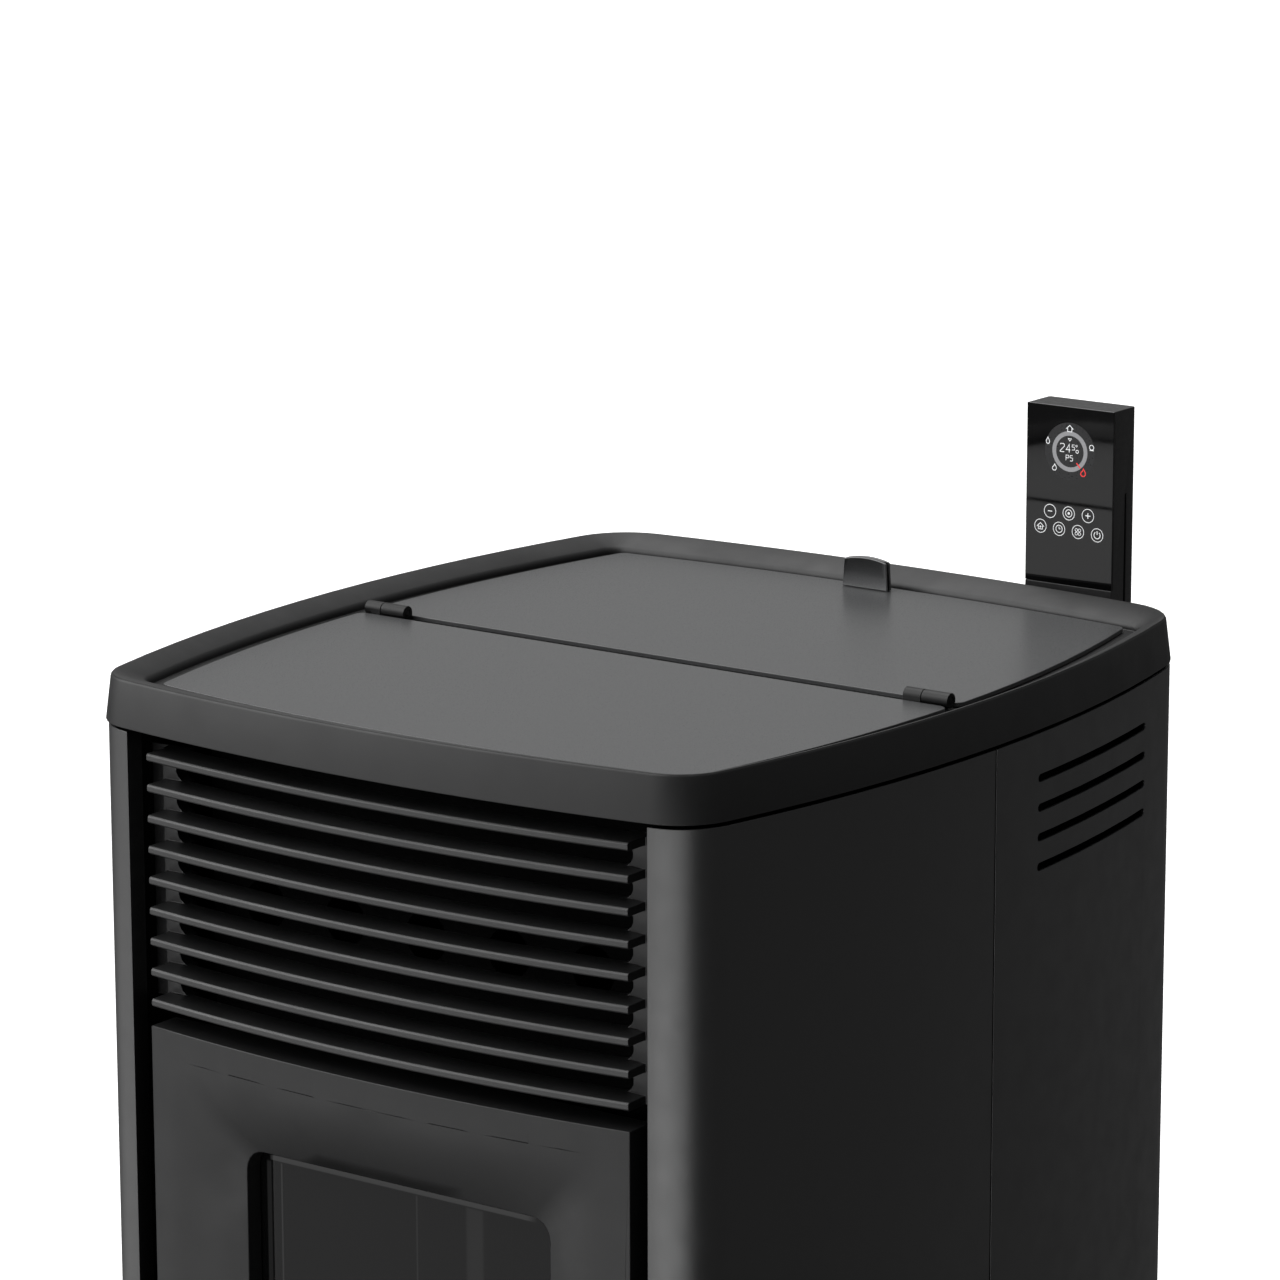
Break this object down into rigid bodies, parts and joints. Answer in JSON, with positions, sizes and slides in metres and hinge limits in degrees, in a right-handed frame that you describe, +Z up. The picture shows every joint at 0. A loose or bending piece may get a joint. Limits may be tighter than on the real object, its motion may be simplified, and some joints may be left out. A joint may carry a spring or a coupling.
{
  "type": "pellet stove",
  "caption": "Free-standing pellet stove with a cast top tray, slatted warm-air grille, glazed fire door, ash drawer, hopper lid and a slim upright control panel.",
  "frame": {"origin": "on the floor under the middle of the whole part's box", "axes": "+Z up, the fire door faces -Y, +X to the right seen from the front"},
  "size_m": [0.518, 0.6268, 1.1975],
  "materials": {
    "cast": "matt black enamel",
    "black_sheet": "satin black paint",
    "lid_sheet": "fine-grained satin anthracite paint",
    "steel": "brushed",
    "plastic": "matt",
    "glass": "dark clear",
    "rope": "woven glass rope",
    "lining": "rough mineral board",
    "circuit": "green circuit board"
  },
  "bodies": {
    "stove_body": {"base_plate": "black_sheet", "left_frame_side": "black_sheet", "right_frame_side": "black_sheet", "left_side_panel": "black_sheet", "right_side_panel": "black_sheet", "left_rear_side_panel": "black_sheet", "right_rear_side_panel": "black_sheet", "rear_cover": "black_sheet", "top_tray": "cast", "front_top_plate": "lid_sheet", "left_lid_hinge_leaf": "black_sheet", "right_lid_hinge_leaf": "black_sheet", "air_grille": "cast", "plinth_panel": "black_sheet", "lower_door_hinge": "steel", "upper_door_hinge": "steel", "latch_keeper": "steel", "ash_chamber": "black_sheet", "firebox": "black_sheet", "firebox_lining": "lining", "igniter": "steel", "heat_exchanger": "black_sheet", "hopper": "steel", "auger_tube": "steel", "auger_motor": "plastic", "smoke_fan_housing": "steel", "smoke_fan_motor": "plastic", "flue_outlet": "black_sheet", "air_intake": "steel", "room_fan_housing": "steel", "room_fan_motor": "plastic", "control_board": "circuit", "power_inlet": "plastic", "panel_bracket": "black_sheet"},
    "hopper_lid": {"hopper_lid": "lid_sheet", "lid_tab": "black_sheet", "left_lid_knuckle": "black_sheet", "right_lid_knuckle": "black_sheet", "lid_gasket": "rope"},
    "door": {"door_frame": "cast", "door_glass": "glass", "glass_retainer": "black_sheet", "door_gasket": "rope"},
    "door_handle": {"door_handle": "steel", "latch_cam": "steel"},
    "ash_drawer": {"ash_drawer": "steel", "drawer_front": "cast"},
    "burn_pot": {"burn_pot": "cast"},
    "auger_screw": {"auger_screw": "steel"},
    "smoke_fan_impeller": {"smoke_fan_impeller": "steel"},
    "room_fan_impeller": {"room_fan_impeller": "steel"},
    "power_switch": {"power_switch": "plastic"},
    "control_panel": {"panel_housing": "plastic", "panel_glass": "glass"},
    "foot_front_left": {"foot_front_left": "plastic"},
    "foot_front_right": {"foot_front_right": "plastic"},
    "foot_rear_left": {"foot_rear_left": "plastic"},
    "foot_rear_right": {"foot_rear_right": "plastic"}
  },
  "joints": [
    {"name": "hopper_lid_hinge", "type": "hinge", "parent": "stove_body", "child": "hopper_lid", "pos_m": [0, -0.00909, 1.0731], "axis": [1, 0, 0], "range_deg": [0, 95]},
    {"name": "door_hinge", "type": "hinge", "parent": "stove_body", "child": "door", "pos_m": [-0.1849, -0.27989, 0.6], "axis": [0, 0, -1], "range_deg": [0, 110]},
    {"name": "door_handle_turn", "type": "hinge", "parent": "door", "child": "door_handle", "pos_m": [0.1683, -0.27389, 0.5995], "axis": [0, 1, 0], "range_deg": [0, 80]},
    {"name": "ash_drawer_slide", "type": "slide", "parent": "stove_body", "child": "ash_drawer", "axis": [0, -1, 0], "range_m": [0, 0.2]},
    {"name": "burn_pot_lift", "type": "slide", "parent": "stove_body", "child": "burn_pot", "axis": [0, 0, 1], "range_m": [0, 0.1]},
    {"name": "auger_turn", "type": "hinge", "parent": "stove_body", "child": "auger_screw", "pos_m": [0, 0.13811, 0.48], "axis": [0, -0.5, 0.866], "continuous": true},
    {"name": "smoke_fan_turn", "type": "hinge", "parent": "stove_body", "child": "smoke_fan_impeller", "pos_m": [0.095, 0.17111, 0.345], "axis": [0, 1, 0], "continuous": true},
    {"name": "room_fan_turn", "type": "hinge", "parent": "stove_body", "child": "room_fan_impeller", "pos_m": [0, 0.10611, 0.0983], "axis": [1, 0, 0], "continuous": true},
    {"name": "power_switch_rock", "type": "hinge", "parent": "stove_body", "child": "power_switch", "pos_m": [-0.129, 0.25571, 0.165], "axis": [1, 0, 0], "range_deg": [0, 14]},
    {"name": "control_panel_lift", "type": "slide", "parent": "stove_body", "child": "control_panel", "axis": [0, 0, 1], "range_m": [0, 0.11]},
    {"name": "foot_front_left_height", "type": "slide", "parent": "stove_body", "child": "foot_front_left", "axis": [0, 0, -1], "range_m": [0, 0.012]},
    {"name": "foot_front_right_height", "type": "slide", "parent": "stove_body", "child": "foot_front_right", "axis": [0, 0, -1], "range_m": [0, 0.012]},
    {"name": "foot_rear_left_height", "type": "slide", "parent": "stove_body", "child": "foot_rear_left", "axis": [0, 0, -1], "range_m": [0, 0.012]},
    {"name": "foot_rear_right_height", "type": "slide", "parent": "stove_body", "child": "foot_rear_right", "axis": [0, 0, -1], "range_m": [0, 0.012]}
  ]
}
